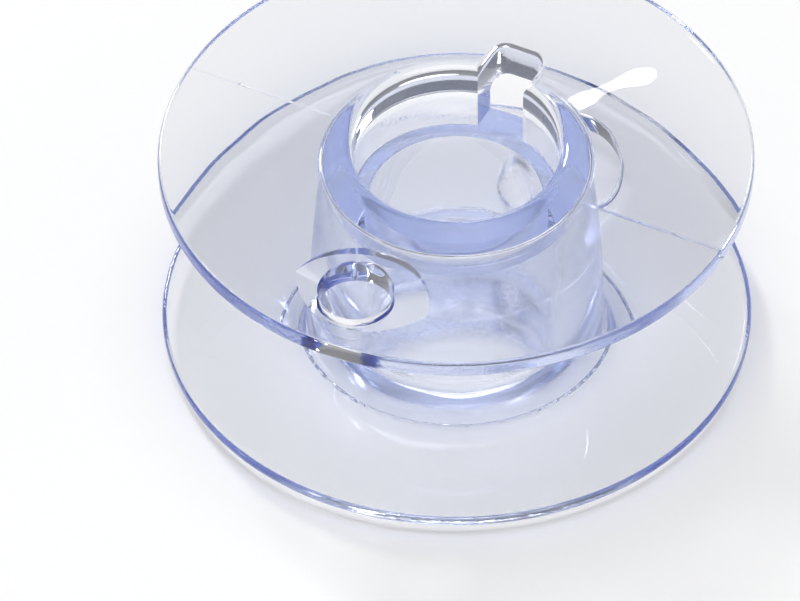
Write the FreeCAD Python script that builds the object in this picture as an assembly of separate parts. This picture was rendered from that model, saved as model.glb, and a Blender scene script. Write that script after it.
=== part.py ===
import FreeCAD, Part
import math
import os

# Sewing machine bobbin, moulded in one piece of clear plastic, in millimetres.
# The origin is the middle of the seat it stands on and +Z runs up the spindle axis. The mould parts
# in the XZ plane. The thread hole of the upper flange is on -Y, and the drive notch and the thread
# hole of the lower flange are on +Y.

flange_diameter = 20.5
rim_to_rim = 7.95           # underside of the lower rim to the top edge of the upper rim
rim_bevel = 0.12            # broken edges of both rims

lower_thickness = 0.5       # lower flange at its rim, flat on the inner face
seat_diameter = 10.9        # flat ring under the lower flange that the bobbin stands on
seat_drop = 0.3             # lower flange, outer face: falls from the rim to the seat
upper_rim_thickness = 0.58
crown_rise = 0.46           # upper flange, outer face: climbs from the rim to the mouth
inner_drop = 0.46           # upper flange, inner face: falls from the rim to the hub

bore_diameter = 6.0         # turns on the machine's spindle
bore_lead_in = 0.3          # chamfer where the spindle enters from below
ledge_width = 0.55          # step from the bore out to the wider socket above it
socket_depth = 2.55         # from the crown down to the ledge
mouth_radius = 0.45         # rounding at the mouth of the socket
land_width = 0.1            # flat ring round the mouth

hub_wall = 0.95             # from the socket to the outside of the hub
hub_neck_radius = 0.25      # fillet under the upper flange
hub_foot_radius = 1.25      # fillet on the lower flange

notch_width = 1.75          # slot for the winder's drive spring
notch_overrun = 0.75        # how far the notch runs on past the outside of the hub

thread_hole_diameter = 2.5  # one hole in each flange
thread_hole_shift = 0.275   # from the middle of the winding width towards the rim
dish_width = 1.25           # shallow dish round the upper thread hole, on the flange's inner face
dish_depth = 0.17           # of the dish at the edge of the hole

cut_margin = 1.0            # how far a cutter stands clear of the face it enters

flange_radius = flange_diameter / 2
seat_radius = seat_diameter / 2
floor_height = seat_drop + lower_thickness
rim_height = seat_drop + rim_to_rim
bore_radius = bore_diameter / 2
socket_radius = bore_radius + ledge_width
land_radius = socket_radius + mouth_radius + land_width
hub_radius = socket_radius + hub_wall
crown_height = rim_height + crown_rise
ledge_height = crown_height - socket_depth
thread_hole_radius = thread_hole_diameter / 2
thread_hole_offset = (hub_radius + flange_radius) / 2 + thread_hole_shift
dish_radius = thread_hole_radius + dish_width


def outer_face_height(radius):
    """Height of the upper flange's outer cone."""
    return rim_height + crown_rise * (flange_radius - radius) / (flange_radius - land_radius)


def inner_face_height(radius):
    """Height of the upper flange's inner cone."""
    rim_foot = rim_height - upper_rim_thickness
    return rim_foot - inner_drop * (flange_radius - radius) / (flange_radius - hub_radius)


def under_face_height(radius):
    """Height of the lower flange's outer cone."""
    return seat_drop * (radius - seat_radius) / (flange_radius - seat_radius)


def point(radius, height):
    return FreeCAD.Vector(radius, 0, height)


def corner_arc(before, corner, after, radius):
    """Where the rounding of a corner starts and ends, and its arc."""
    towards = (before - corner).normalize()
    away = (after - corner).normalize()
    half_angle = towards.getAngle(away) / 2
    setback = radius / math.tan(half_angle)
    first = corner + towards * setback
    last = corner + away * setback
    inward = (towards + away).normalize()
    middle = corner + inward * (radius / math.sin(half_angle) - radius)
    return first, last, Part.Arc(first, middle, last).toShape()


def rounded_outline(corners):
    """Closed wire through (point, rounding radius) pairs. A radius of zero leaves the corner sharp."""
    count = len(corners)
    turns = []
    for index, (corner, radius) in enumerate(corners):
        before = corners[index - 1][0]
        after = corners[(index + 1) % count][0]
        if radius:
            turns.append(corner_arc(before, corner, after, radius))
        else:
            turns.append((corner, corner, None))
    edges = []
    for index, (first, last, arc) in enumerate(turns):
        if arc:
            edges.append(arc)
        next_first = turns[(index + 1) % count][0]
        edges.append(Part.LineSegment(last, next_first).toShape())
    return Part.Wire(edges)


def rim_edge(bottom, top):
    """Bevelled edge of a flange, upwards."""
    inset = flange_radius - rim_bevel
    return [
        (point(inset, bottom), 0),
        (point(flange_radius, bottom + rim_bevel), 0),
        (point(flange_radius, top - rim_bevel), 0),
        (point(inset, top), 0),
    ]


def half_section():
    """The bobbin's outline on one side of its axis, anticlockwise from the bottom of the bore."""
    inset = flange_radius - rim_bevel
    corners = [
        (point(bore_radius + bore_lead_in, 0), 0),
        (point(seat_radius, 0), 0),
    ]
    corners += rim_edge(under_face_height(inset), floor_height)
    corners += [
        (point(hub_radius, floor_height), hub_foot_radius),
        (point(hub_radius, inner_face_height(hub_radius)), hub_neck_radius),
    ]
    corners += rim_edge(inner_face_height(inset), outer_face_height(inset))
    corners += [
        (point(land_radius, crown_height), 0),
        (point(socket_radius, crown_height), mouth_radius),
        (point(socket_radius, ledge_height), 0),
        (point(bore_radius, ledge_height), 0),
        (point(bore_radius, bore_lead_in), 0),
    ]
    return rounded_outline(corners)


def turned_body():
    section = Part.Face(half_section())
    axis_foot = FreeCAD.Vector(0, 0, 0)
    axis = FreeCAD.Vector(0, 0, 1)
    return section.revolve(axis_foot, axis, 360)


def thread_hole(side, low, high):
    """Round cutter through one flange, on the +Y or -Y side of the axis."""
    foot = FreeCAD.Vector(0, side * thread_hole_offset, low)
    return Part.makeCylinder(thread_hole_radius, high - low, foot)


def thread_dish():
    """Cutter for the dish round the upper thread hole, square to the axis in the sloping inner face.

    It stops short of the fillet at the top of the hub.
    """
    middle = FreeCAD.Vector(0, -thread_hole_offset, inner_face_height(thread_hole_offset))
    up = FreeCAD.Vector(0, 0, 1)
    dish = Part.makeCone(dish_radius, thread_hole_radius, dish_depth, middle, up)
    approach = Part.makeCylinder(dish_radius, cut_margin, middle, up * -1)
    hub = Part.makeCylinder(hub_radius + hub_neck_radius, crown_height)
    return dish.fuse(approach).cut(hub)


def drive_notch():
    """Slot from the socket out through the hub wall, with its floor level with the ledge."""
    corner = FreeCAD.Vector(-notch_width / 2, 0, ledge_height)
    reach = hub_radius + notch_overrun
    return Part.makeBox(notch_width, reach, socket_depth + cut_margin, corner)


def bobbin():
    mid_height = crown_height / 2
    cutters = [
        thread_hole(-1, mid_height, crown_height + cut_margin),
        thread_hole(1, -cut_margin, mid_height),
        thread_dish(),
        drive_notch(),
    ]
    return turned_body().cut(cutters)


os.makedirs("parts", exist_ok=True)
shape = bobbin()
solid = shape.Solids[0]
solid.exportStep("parts/bobbin.step")
print("solids", len(shape.Solids), "valid", solid.isValid(), "volume", round(solid.Volume, 2))
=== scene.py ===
import math

import bmesh
import bpy
from mathutils import Matrix, Vector, noise


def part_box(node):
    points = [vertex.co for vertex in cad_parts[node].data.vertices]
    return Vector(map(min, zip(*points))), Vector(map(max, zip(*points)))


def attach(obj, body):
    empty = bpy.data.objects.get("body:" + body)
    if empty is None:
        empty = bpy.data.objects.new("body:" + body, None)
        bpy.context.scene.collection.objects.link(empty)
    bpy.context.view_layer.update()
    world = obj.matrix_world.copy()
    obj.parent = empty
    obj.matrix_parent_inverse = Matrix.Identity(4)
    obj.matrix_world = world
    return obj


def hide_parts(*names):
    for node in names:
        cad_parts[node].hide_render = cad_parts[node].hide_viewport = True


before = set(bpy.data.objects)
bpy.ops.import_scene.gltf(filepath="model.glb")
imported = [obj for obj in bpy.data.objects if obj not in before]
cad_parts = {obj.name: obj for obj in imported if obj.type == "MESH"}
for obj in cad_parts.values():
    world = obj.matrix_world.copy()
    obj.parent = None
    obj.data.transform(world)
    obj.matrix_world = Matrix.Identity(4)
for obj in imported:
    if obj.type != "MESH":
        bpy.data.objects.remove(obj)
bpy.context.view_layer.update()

boxLow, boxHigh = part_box("bobbin")
mm = 0.001  # the sizes below are in millimetres
tiny = 1e-6  # nearer than this is the same place


# bobbin

bobbin = {
    "inside": 0.004,          # how far the moulding stays inside its box
    "rimRound": 0.13,         # rounding of both rims
    "underRimRound": 0.28,    # and of the lower rim's underside
    "lowerThickness": 0.5,    # lower flange at its rim
    "seatRadius": 5.45,       # flat ring it stands on
    "seatDrop": 0.3,          # the underside falls this much from the rim to the seat
    "upperRimThickness": 0.58,
    "crownRise": 0.46,        # the top face climbs this much towards the mouth
    "innerDrop": 0.46,        # the face below it falls this much towards the hub
    "boreRadius": 3.0,
    "boreLeadIn": 0.3,
    "socketRadius": 3.55,     # the bore's wider upper end
    "socketDepth": 2.55,
    "stepRound": 0.06,        # small roundings in the bore and the socket
    "mouthRound": 0.45,
    "landWidth": 0.1,         # flat ring round the mouth
    "hubRadius": 4.5,
    "neckRound": 0.25,        # from the hub to the upper flange
    "footRound": 1.25,        # from the hub to the lower flange
    "flashHeight": 0.2,       # fine ragged line round the edge of the seat
    "flashWidth": 0.08,
    "flashWaves": 24.0,       # how closely it waves
    "flashSpecks": 60.0,      # and how closely it is speckled
    "flashEven": 0.5,         # shares of its height that are even, wavy and speckled
    "flashWavy": 0.35,
    "flashSpeckled": 0.8,
    "holeRadius": 1.25,       # thread holes
    "holeOffset": 7.65,
    "holeEase": 0.09,         # eased edges of the holes
    "dishRadius": 2.5,        # shallow dish round the upper hole
    "dishDepth": 0.12,
    "dishClear": 0.6,         # how far its cutter starts below the flange
    "notchWidth": 1.75,       # drive notch
    "notchStart": 0.5,        # its cutter starts inside the bore
    "notchReach": 5.25,
    "notchRound": 0.45,
    "notchEase": 0.22,        # eased upper edges of the notch
    "notchClear": 0.5,        # how far its cutter stands above the crown
    "seamWidth": 0.08,        # raised line where the mould halves met
    "seamHeight": 0.07,
    "gateRadius": 0.2,        # stub left by the mould's inlet
    "gateLift": 0.2,          # above the flange's inner face
    "gateFlat": 0.7,          # how thick it is against its width
    "gateLump": 0.35,         # how lumpy it is
    "gateLumpSize": 0.12,
    "holdWidth": 0.05,        # flat faces are held flat up to here from their edges
    "weldReach": 0.001,       # points this close become one
    "sharpAngle": 32.0,       # degrees, sharper edges stay crisp
    "turnSteps": 320,
    "arcSteps": 10,
    "holeSteps": 96,
    "dishSteps": 160,
    "cornerSteps": 6,
}


def crownTop(shape):
    return boxHigh.z / mm - shape["inside"]


def flangeRadius(shape):
    return (boxHigh.x - boxLow.x) / 2 / mm - shape["inside"]


def rimTop(shape):
    return crownTop(shape) - shape["crownRise"]


def landRadius(shape):
    return shape["socketRadius"] + shape["mouthRound"] + shape["landWidth"]


def windingFloor(shape):
    return shape["seatDrop"] + shape["lowerThickness"]


def ledgeHeight(shape):
    return crownTop(shape) - shape["socketDepth"]


def outerFace(shape, radius):
    rim = flangeRadius(shape)
    return rimTop(shape) + shape["crownRise"] * (rim - radius) / (rim - landRadius(shape))


def innerFace(shape, radius):
    rim = flangeRadius(shape)
    drop = shape["innerDrop"] * (rim - radius) / (rim - shape["hubRadius"])
    return rimTop(shape) - shape["upperRimThickness"] - drop


def underFace(shape, radius):
    seat = shape["seatRadius"]
    return shape["seatDrop"] * (radius - seat) / (flangeRadius(shape) - seat)


def roundCorner(before, corner, after, radius, steps):
    towards = (before - corner).normalized()
    away = (after - corner).normalized()
    halfAngle = towards.angle(away) / 2
    middle = corner + (towards + away).normalized() * (radius / math.sin(halfAngle))
    first = corner + towards * (radius / math.tan(halfAngle)) - middle
    last = corner + away * (radius / math.tan(halfAngle)) - middle
    sweep = first.angle_signed(last)
    points = []
    for step in range(steps + 1):
        turned = Matrix.Rotation(-sweep * step / steps, 2) @ first
        points.append(middle + turned)
    return points


def heldFlat(shape, points):
    hold = shape["holdWidth"]
    held = []
    for point, follow in zip(points, points[1:] + points[:1]):
        held.append(point)
        length = (follow - point).length
        if length > hold * 4:  # a straight run, with room for both points
            way = (follow - point) / length
            held += [point + way * hold, follow - way * hold]
    return held


def halfSection(shape):
    rim = flangeRadius(shape)
    hub = shape["hubRadius"]
    seat = shape["seatRadius"]
    floor = windingFloor(shape)
    flash = shape["flashWidth"]
    rimRound = shape["rimRound"]
    step = shape["stepRound"]
    ledge = ledgeHeight(shape)
    corners = [
        (shape["boreRadius"] + shape["boreLeadIn"], 0, step),
        (seat - flash, 0, 0),
        (seat, 0, 0),  # lifted into the ragged line further on
        (seat + flash, 0, 0),
        (rim, shape["seatDrop"], shape["underRimRound"]),
        (rim, floor, rimRound),
        (hub, floor, shape["footRound"]),
        (hub, innerFace(shape, hub), shape["neckRound"]),
        (rim, innerFace(shape, rim), rimRound),
        (rim, outerFace(shape, rim), rimRound),
        (landRadius(shape), crownTop(shape), step),
        (shape["socketRadius"], crownTop(shape), shape["mouthRound"]),
        (shape["socketRadius"], ledge, step),
        (shape["boreRadius"], ledge, step),
        (shape["boreRadius"], shape["boreLeadIn"], step),
    ]
    points = []
    for index, (radius, height, rounding) in enumerate(corners):
        corner = Vector((radius, height))
        before = Vector(corners[index - 1][:2])
        after = Vector(corners[(index + 1) % len(corners)][:2])
        if rounding:
            points += roundCorner(before, corner, after, rounding, shape["arcSteps"])
        else:
            points.append(corner)
    return heldFlat(shape, points)


def flashLift(shape, point, angle):
    onLine = abs(point.x - shape["seatRadius"]) < tiny and abs(point.y) < tiny
    if not onLine:
        return 0
    way = Vector((math.cos(angle), math.sin(angle), 0))
    wavy = shape["flashWavy"] * noise.noise(way * shape["flashWaves"])
    specks = shape["flashSpeckled"] * max(0, noise.noise(way * shape["flashSpecks"]))
    return shape["flashHeight"] * (shape["flashEven"] + wavy + specks)


def meshObject(name, body):
    bmesh.ops.recalc_face_normals(body, faces=body.faces)
    mesh = bpy.data.meshes.new(name)
    body.to_mesh(mesh)
    body.free()
    piece = bpy.data.objects.new(name, mesh)
    bpy.context.scene.collection.objects.link(piece)
    return piece


def bridge(body, lower, upper):
    count = len(lower)
    for index in range(count):
        follow = (index + 1) % count
        body.faces.new((lower[index], lower[follow], upper[follow], upper[index]))


def turned(shape):
    section = halfSection(shape)
    body = bmesh.new()
    rings = []
    for step in range(shape["turnSteps"]):
        angle = 2 * math.pi * step / shape["turnSteps"]
        ring = []
        for point in section:
            height = point.y + flashLift(shape, point, angle)
            across = Vector((math.cos(angle), math.sin(angle))) * point.x
            ring.append(body.verts.new((across.x * mm, across.y * mm, height * mm)))
        rings.append(ring)
    for step, ring in enumerate(rings):
        bridge(body, ring, rings[(step + 1) % len(rings)])
    return meshObject("clearBobbin", body)


def circle(middle, radius, steps):
    outline = []
    for step in range(steps):
        angle = 2 * math.pi * step / steps
        way = Vector((math.cos(angle), math.sin(angle)))
        outline.append((middle + way * radius, way))
    return outline


def roundedBox(left, right, near, far, radius, steps):
    outline = []
    for middle, start in (
        (Vector((right - radius, far - radius)), 0),
        (Vector((left + radius, far - radius)), 90),
        (Vector((left + radius, near + radius)), 180),
        (Vector((right - radius, near + radius)), 270),
    ):
        for step in range(steps + 1):
            angle = math.radians(start + 90 * step / steps)
            way = Vector((math.cos(angle), math.sin(angle)))
            outline.append((middle + way * radius, way))
    return outline


def cutter(name, outline, levels):
    body = bmesh.new()
    rings = []
    for grow, height in levels:
        ring = []
        for point, way in outline:
            moved = point + way * grow
            level = height(moved.length) if callable(height) else height
            ring.append(body.verts.new((moved.x * mm, moved.y * mm, level * mm)))
        rings.append(ring)
    for lower, upper in zip(rings, rings[1:]):
        bridge(body, lower, upper)
    body.faces.new(rings[0])
    body.faces.new(rings[-1])
    return meshObject(name, body)


def easedEdge(face, ease, way):
    levels = []
    for flare, past in ((2, 1), (0.3, -0.3), (0, -1)):  # from outside the face to inside it
        levels.append((ease * flare, lambda radius, past=past: face(radius) + way * ease * past))
    return levels


def combine(piece, tool, operation):
    change = piece.modifiers.new(tool.name, "BOOLEAN")
    change.operation = operation
    change.solver = "EXACT"
    change.object = tool
    ready = piece.evaluated_get(bpy.context.evaluated_depsgraph_get())
    mesh = bpy.data.meshes.new_from_object(ready)
    piece.modifiers.clear()
    old = piece.data
    piece.data = mesh
    bpy.data.meshes.remove(old)
    bpy.data.objects.remove(tool)


def upperHole(shape):
    dishTop = innerFace(shape, shape["holeOffset"]) + shape["dishDepth"]
    below = easedEdge(lambda radius: dishTop, shape["holeEase"], -1)
    above = easedEdge(lambda radius: outerFace(shape, radius), shape["holeEase"], 1)
    middle = Vector((0, -shape["holeOffset"]))
    outline = circle(middle, shape["holeRadius"], shape["holeSteps"])
    return cutter("upperHole", outline, below + above[::-1])


def lowerHole(shape):
    below = easedEdge(lambda radius: underFace(shape, radius), shape["holeEase"], -1)
    above = easedEdge(lambda radius: windingFloor(shape), shape["holeEase"], 1)
    middle = Vector((0, shape["holeOffset"]))
    outline = circle(middle, shape["holeRadius"], shape["holeSteps"])
    return cutter("lowerHole", outline, below + above[::-1])


def threadDish(shape):
    middle = Vector((0, -shape["holeOffset"]))
    face = innerFace(shape, shape["holeOffset"])
    outline = circle(middle, shape["dishRadius"], shape["dishSteps"])
    return cutter("threadDish", outline, [
        (0, face - shape["dishClear"]),
        (0, face),
        (shape["holeRadius"] - shape["dishRadius"], face + shape["dishDepth"]),
    ])


def driveNotch(shape):
    half = shape["notchWidth"] / 2
    near, far = shape["notchStart"], shape["notchReach"]
    outline = roundedBox(-half, half, near, far, shape["notchRound"], shape["cornerSteps"])
    crown = crownTop(shape)
    top = easedEdge(lambda radius: min(crown, outerFace(shape, radius)), shape["notchEase"], 1)
    widest = top[0][0]
    levels = [(0, ledgeHeight(shape))] + top[::-1] + [(widest, crown + shape["notchClear"])]
    return cutter("driveNotch", outline, levels)


def seam(shape, name, side, start, end):
    half = shape["seamWidth"] / 2
    body = bmesh.new()
    rings = []
    for radius in (start, end):
        level = innerFace(shape, radius)
        ring = []
        for across, lift in ((-half, 0), (0, 1), (half, 0), (0, -2)):  # the last is in the flange
            rise = level - shape["seamHeight"] * lift
            ring.append(body.verts.new((side * radius * mm, across * mm, rise * mm)))
        rings.append(ring)
    bridge(body, rings[0], rings[1])
    body.faces.new(rings[0])
    body.faces.new(rings[1])
    return meshObject(name, body)


def gateStub(shape):
    left = -shape["notchWidth"] / 2
    far = shape["notchReach"] - shape["gateRadius"]
    level = innerFace(shape, shape["hubRadius"]) + shape["gateLift"]
    middle = Vector((left, far, level)) * mm
    lumpSize = shape["gateLumpSize"] * mm
    body = bmesh.new()
    bmesh.ops.create_icosphere(body, subdivisions=4, radius=shape["gateRadius"] * mm)
    for vertex in body.verts:
        swell = 1 + shape["gateLump"] * noise.noise(vertex.co / lumpSize)
        thin = Vector((vertex.co.x * shape["gateFlat"], vertex.co.y, vertex.co.z))
        vertex.co = middle + thin * swell
    return meshObject("gateStub", body)


def weldSlivers(piece, reach):
    body = bmesh.new()
    body.from_mesh(piece.data)
    bmesh.ops.remove_doubles(body, verts=body.verts, dist=reach * mm)
    bmesh.ops.dissolve_degenerate(body, edges=body.edges, dist=reach * mm)
    body.to_mesh(piece.data)
    body.free()


def onHubWall(shape, place, normal):
    hub = shape["hubRadius"]
    radius = math.hypot(place.x, place.y)
    neck = innerFace(shape, hub) - shape["neckRound"]
    outward = (normal.x * place.x + normal.y * place.y) / radius
    around = abs(normal.x * place.y - normal.y * place.x) / radius
    near = hub - 0.02 < radius < hub + shape["footRound"]
    between = windingFloor(shape) - 0.001 < place.z < neck + 0.01
    facing = outward > -0.1 and around < 0.5 and normal.z > -0.2  # not the notch or the seams
    return near and between and facing


def markFinish(piece, shape):
    mesh = piece.data
    for name in ("frost", "trimmed", "drawn"):
        mesh.attributes.new(name, "FLOAT", "FACE")
    rimStart = flangeRadius(shape) - shape["rimRound"]
    socketEnd = shape["socketRadius"] + 0.01
    for face in mesh.polygons:
        place = face.center / mm
        radius = math.hypot(place.x, place.y)
        marks = {
            "frost": onHubWall(shape, place, face.normal),
            "trimmed": radius > rimStart,
            "drawn": radius < socketEnd,
        }
        for name, marked in marks.items():
            mesh.attributes[name].data[face.index].value = float(marked)


def onDish(shape, place, normal):
    away = math.hypot(place.x, place.y + shape["holeOffset"])
    slope = shape["dishDepth"] / (shape["dishRadius"] - shape["holeRadius"])
    height = innerFace(shape, shape["holeOffset"]) + slope * (shape["dishRadius"] - away)
    return normal.z < -0.9 and abs(place.z - height) < 0.004 and away < shape["dishRadius"]


def markDishEdge(piece, shape):
    mesh = piece.data
    sides = {}
    for face in mesh.polygons:
        inDish = onDish(shape, face.center / mm, face.normal)
        for edge in face.edge_keys:
            sides.setdefault(edge, set()).add(inDish)
    for edge in mesh.edges:
        if len(sides[edge.key]) == 2:  # dish on one side, flange on the other
            edge.use_edge_sharp = True


def makeBobbin(shape):
    piece = turned(shape)
    for tool in (threadDish(shape), upperHole(shape), lowerHole(shape), driveNotch(shape)):
        combine(piece, tool, "DIFFERENCE")
    hubEdge = shape["hubRadius"] + shape["neckRound"]
    rimEdge = flangeRadius(shape) - shape["rimRound"]
    for name, side in (("seamRight", 1), ("seamLeft", -1)):
        combine(piece, seam(shape, name, side, hubEdge, rimEdge), "UNION")
    combine(piece, gateStub(shape), "UNION")
    weldSlivers(piece, shape["weldReach"])
    markFinish(piece, shape)
    piece.data.shade_smooth()
    piece.data.set_sharp_from_angle(angle=math.radians(shape["sharpAngle"]))
    markDishEdge(piece, shape)
    return piece


# clear plastic

plastic = {
    "bend": 1.585,              # how strongly the plastic bends light
    "tint": (0.23, 0.37, 0.8),
    "tintDepth": 68.0,          # strength of the tint per metre of plastic
    "polish": (0.0, 0.03),      # roughness of the flanges, between clean and dulled
    "dulled": (0.62, 0.85),     # part of the wave over which they dull
    "frost": (0.09, 0.18),      # roughness of the hub's grainy wall
    "trimmed": 0.08,            # roughness of the rims' edges
    "waveSize": 1.8,            # millimetres
    "waveHeight": 0.006,
    "swirlHeight": 0.045,       # deeper waves on the walls of the bore and the socket
    "grainSize": 0.14,
    "grainHeight": 0.0016,
    "nickHeight": 0.0064,       # deeper grain round the rims' edges
}


def node(tree, kind, **values):
    made = tree.nodes.new(kind)
    for name, value in values.items():
        setattr(made, name, value)
    return made


def calc(tree, operation, first, second):
    made = node(tree, "ShaderNodeMath", operation=operation)
    for socket, value in zip(made.inputs, (first, second)):
        if isinstance(value, bpy.types.NodeSocket):
            tree.links.new(value, socket)
        else:
            socket.default_value = value
    return made.outputs[0]


def cloud(tree, place, size, detail):
    made = node(tree, "ShaderNodeTexNoise")
    made.inputs["Scale"].default_value = 1 / (size * mm)
    made.inputs["Detail"].default_value = detail
    tree.links.new(place, made.inputs["Vector"])
    return made.outputs["Fac"]


def spread(tree, value, low, high, fromLow=0.35, fromHigh=0.7):
    made = node(tree, "ShaderNodeMapRange")
    made.inputs["From Min"].default_value = fromLow
    made.inputs["From Max"].default_value = fromHigh
    made.inputs["To Min"].default_value = low
    made.inputs["To Max"].default_value = high
    tree.links.new(value, made.inputs["Value"])
    return made.outputs["Result"]


def faceMark(tree, name):
    return node(tree, "ShaderNodeAttribute", attribute_name=name).outputs["Fac"]


def plasticRoughness(tree, look, wave, grain):
    mixed = node(tree, "ShaderNodeMix", data_type="FLOAT")
    tree.links.new(faceMark(tree, "frost"), mixed.inputs["Factor"])
    tree.links.new(spread(tree, wave, *look["polish"], *look["dulled"]), mixed.inputs["A"])
    tree.links.new(spread(tree, grain, *look["frost"]), mixed.inputs["B"])
    edge = calc(tree, "MULTIPLY", faceMark(tree, "trimmed"), look["trimmed"])
    return calc(tree, "ADD", mixed.outputs["Result"], edge)


def plasticRelief(tree, look, wave, grain):
    swirl = calc(tree, "MULTIPLY", faceMark(tree, "drawn"), look["swirlHeight"] * mm)
    waveHeight = calc(tree, "ADD", swirl, look["waveHeight"] * mm)
    frosted = calc(tree, "MULTIPLY", faceMark(tree, "frost"), look["grainHeight"] * mm)
    nicked = calc(tree, "MULTIPLY", faceMark(tree, "trimmed"), look["nickHeight"] * mm)
    grainHeight = calc(tree, "ADD", frosted, nicked)
    waves = calc(tree, "MULTIPLY", wave, waveHeight)
    grains = calc(tree, "MULTIPLY", grain, grainHeight)
    bump = node(tree, "ShaderNodeBump")
    bump.inputs["Distance"].default_value = 1.0
    tree.links.new(calc(tree, "ADD", waves, grains), bump.inputs["Height"])
    return bump.outputs["Normal"]


def clearPlastic(look):
    material = bpy.data.materials.new("clearPlastic")
    material.use_nodes = True
    tree = material.node_tree
    shader = tree.nodes["Principled BSDF"]
    place = node(tree, "ShaderNodeTexCoord").outputs["Object"]
    wave = cloud(tree, place, look["waveSize"], detail=0)
    grain = cloud(tree, place, look["grainSize"], detail=1)
    tree.links.new(plasticRoughness(tree, look, wave, grain), shader.inputs["Roughness"])
    tree.links.new(plasticRelief(tree, look, wave, grain), shader.inputs["Normal"])
    shader.inputs["Base Color"].default_value = (1, 1, 1, 1)
    shader.inputs["IOR"].default_value = look["bend"]
    shader.inputs["Transmission Weight"].default_value = 1.0
    depth = node(tree, "ShaderNodeVolumeAbsorption")
    depth.inputs["Color"].default_value = (*look["tint"], 1)
    depth.inputs["Density"].default_value = look["tintDepth"]
    tree.links.new(depth.outputs["Volume"], tree.nodes["Material Output"].inputs["Volume"])
    return material


piece = makeBobbin(bobbin)
piece.data.materials.clear()
piece.data.materials.append(clearPlastic(plastic))
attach(piece, "root")
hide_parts("bobbin")
print("bobbin", len(piece.data.vertices), "points", len(piece.data.polygons), "faces")


# floor

floorLook = {
    "size": 2.4,         # metres
    "drop": 0.03,        # millimetres below the seat
    "colour": (0.93, 0.93, 0.93),
    "mottle": 0.015,     # how much its colour varies
    "mottleSize": 40.0,  # millimetres
    "roughness": 0.9,
}


def makeFloor(look):
    half = look["size"] / 2
    body = bmesh.new()
    corners = [(-half, -half), (half, -half), (half, half), (-half, half)]
    body.faces.new([body.verts.new((x, y, -look["drop"] * mm)) for x, y in corners])
    floor = meshObject("floor", body)
    material = bpy.data.materials.new("paleFloor")
    material.use_nodes = True
    tree = material.node_tree
    shader = tree.nodes["Principled BSDF"]
    place = node(tree, "ShaderNodeTexCoord").outputs["Object"]
    patches = cloud(tree, place, look["mottleSize"], detail=3)
    mottle = spread(tree, patches, 1 - look["mottle"], 1, 0.3, 0.7)
    colour = node(tree, "ShaderNodeVectorMath", operation="SCALE")
    colour.inputs[0].default_value = look["colour"]
    tree.links.new(mottle, colour.inputs["Scale"])
    tree.links.new(colour.outputs["Vector"], shader.inputs["Base Color"])
    shader.inputs["Roughness"].default_value = look["roughness"]
    shader.inputs["Specular IOR Level"].default_value = 0.0
    floor.data.materials.append(material)


makeFloor(floorLook)
print("floor made")


# light

light = {
    "skyLow": 0.2,           # strength of the sky on its dim side
    "skyHigh": 1.1,          # and where it is brightest
    "skySide": -63.0,        # degrees round the upright axis to its brightest place
    "skyTilt": 48.0,         # degrees above the floor
    "keySide": 146.0,
    "keyHeight": 27.0,
    "keyWide": 0.12,         # metres
    "keyPower": 1.15,        # watts
    "glintSide": 145.0,      # small lamp, for the patch of light beside the notch
    "glintHeight": 53.5,
    "glintWide": 0.045,
    "glintPower": 0.2,
    "backSide": 122.0,
    "backHeight": 13.0,
    "backWide": 0.12,
    "backPower": 0.12,
    "lampAway": 0.6,         # metres, for the three lamps above
    "topPower": 1.12,
    "topWide": 0.5,
    "topAway": 0.7,
}


def polar(side, height, away):
    side, height = math.radians(side), math.radians(height)
    level = math.cos(height)
    return Vector((level * math.cos(side), level * math.sin(side), math.sin(height))) * away


def makeSky(look):
    world = bpy.data.worlds.new("sky")
    bpy.context.scene.world = world
    world.use_nodes = True
    tree = world.node_tree
    place = node(tree, "ShaderNodeTexCoord").outputs["Generated"]
    towards = node(tree, "ShaderNodeVectorMath", operation="DOT_PRODUCT")
    tree.links.new(place, towards.inputs[0])
    towards.inputs[1].default_value = polar(look["skySide"], look["skyTilt"], 1)
    level = spread(tree, towards.outputs["Value"], look["skyLow"], look["skyHigh"], 0.0, 1.0)
    tree.links.new(level, tree.nodes["Background"].inputs["Strength"])
    tree.nodes["Background"].inputs["Color"].default_value = (1, 1, 1, 1)


def makeLamp(name, place, wide, power):
    lamp = bpy.data.lights.new(name, "AREA")
    lamp.shape = "DISK"
    lamp.size = wide
    lamp.energy = power
    holder = bpy.data.objects.new(name, lamp)
    holder.location = place
    holder.rotation_euler = (-place).to_track_quat("-Z", "Y").to_euler()
    bpy.context.scene.collection.objects.link(holder)


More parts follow.
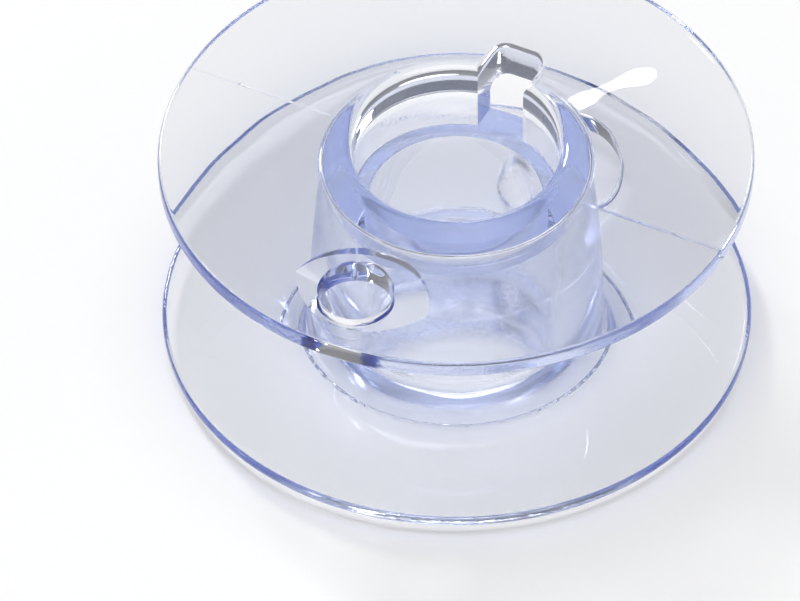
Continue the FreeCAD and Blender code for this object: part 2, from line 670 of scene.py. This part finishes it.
makeSky(light)
for name in ("key", "glint", "back"):
    place = polar(light[name + "Side"], light[name + "Height"], light["lampAway"])
    makeLamp(name + "Lamp", place, light[name + "Wide"], light[name + "Power"])
makeLamp("topLamp", Vector((0, 0, light["topAway"])), light["topWide"], light["topPower"])
print("light made")


# camera

view = {
    "side": 27.0,            # degrees the viewpoint is turned round the bobbin
    "height": 45.03,         # degrees above the floor
    "away": 395.86,          # millimetres
    "roll": -0.59,           # degrees
    "middle": 4.276,         # height of the point it was set up on
    "left": 1.951,           # how far the picture's middle is from it
    "down": 2.269,
    "lens": 515.34,
    "sensor": 36.0,
    "clipStart": 0.01,       # metres
    "bounces": 64,           # enough for light to get through the plastic
    "diffuseBounces": 12,
}


def makeCamera(look):
    side, height, roll = (math.radians(look[name]) for name in ("side", "height", "roll"))
    level = math.cos(height)
    forward = Vector((-math.sin(side) * level, math.cos(side) * level, -math.sin(height)))
    right = Vector((math.cos(side), math.sin(side), 0))
    up = right.cross(forward)
    across = right * math.cos(roll) + up * math.sin(roll)
    upright = up * math.cos(roll) - right * math.sin(roll)
    aim = Vector((0, 0, look["middle"])) - across * look["left"] - upright * look["down"]
    camera = bpy.data.cameras.new("camera")
    camera.lens = look["lens"]
    camera.sensor_width = look["sensor"]
    camera.clip_start = look["clipStart"]
    camera.dof.use_dof = False
    holder = bpy.data.objects.new("camera", camera)
    facing = Matrix((across, upright, -forward)).transposed().to_4x4()
    holder.matrix_world = Matrix.Translation((aim - forward * look["away"]) * mm) @ facing
    bpy.context.scene.collection.objects.link(holder)
    bpy.context.scene.camera = holder


def setPicture(look):
    scene = bpy.context.scene
    scene.view_settings.view_transform = "Standard"
    scene.cycles.blur_glossy = 0.0  # keeps the light that comes through the plastic
    scene.cycles.max_bounces = look["bounces"]
    scene.cycles.transmission_bounces = look["bounces"]
    scene.cycles.glossy_bounces = look["bounces"]
    scene.cycles.diffuse_bounces = look["diffuseBounces"]


makeCamera(view)
setPicture(view)
print("camera made")
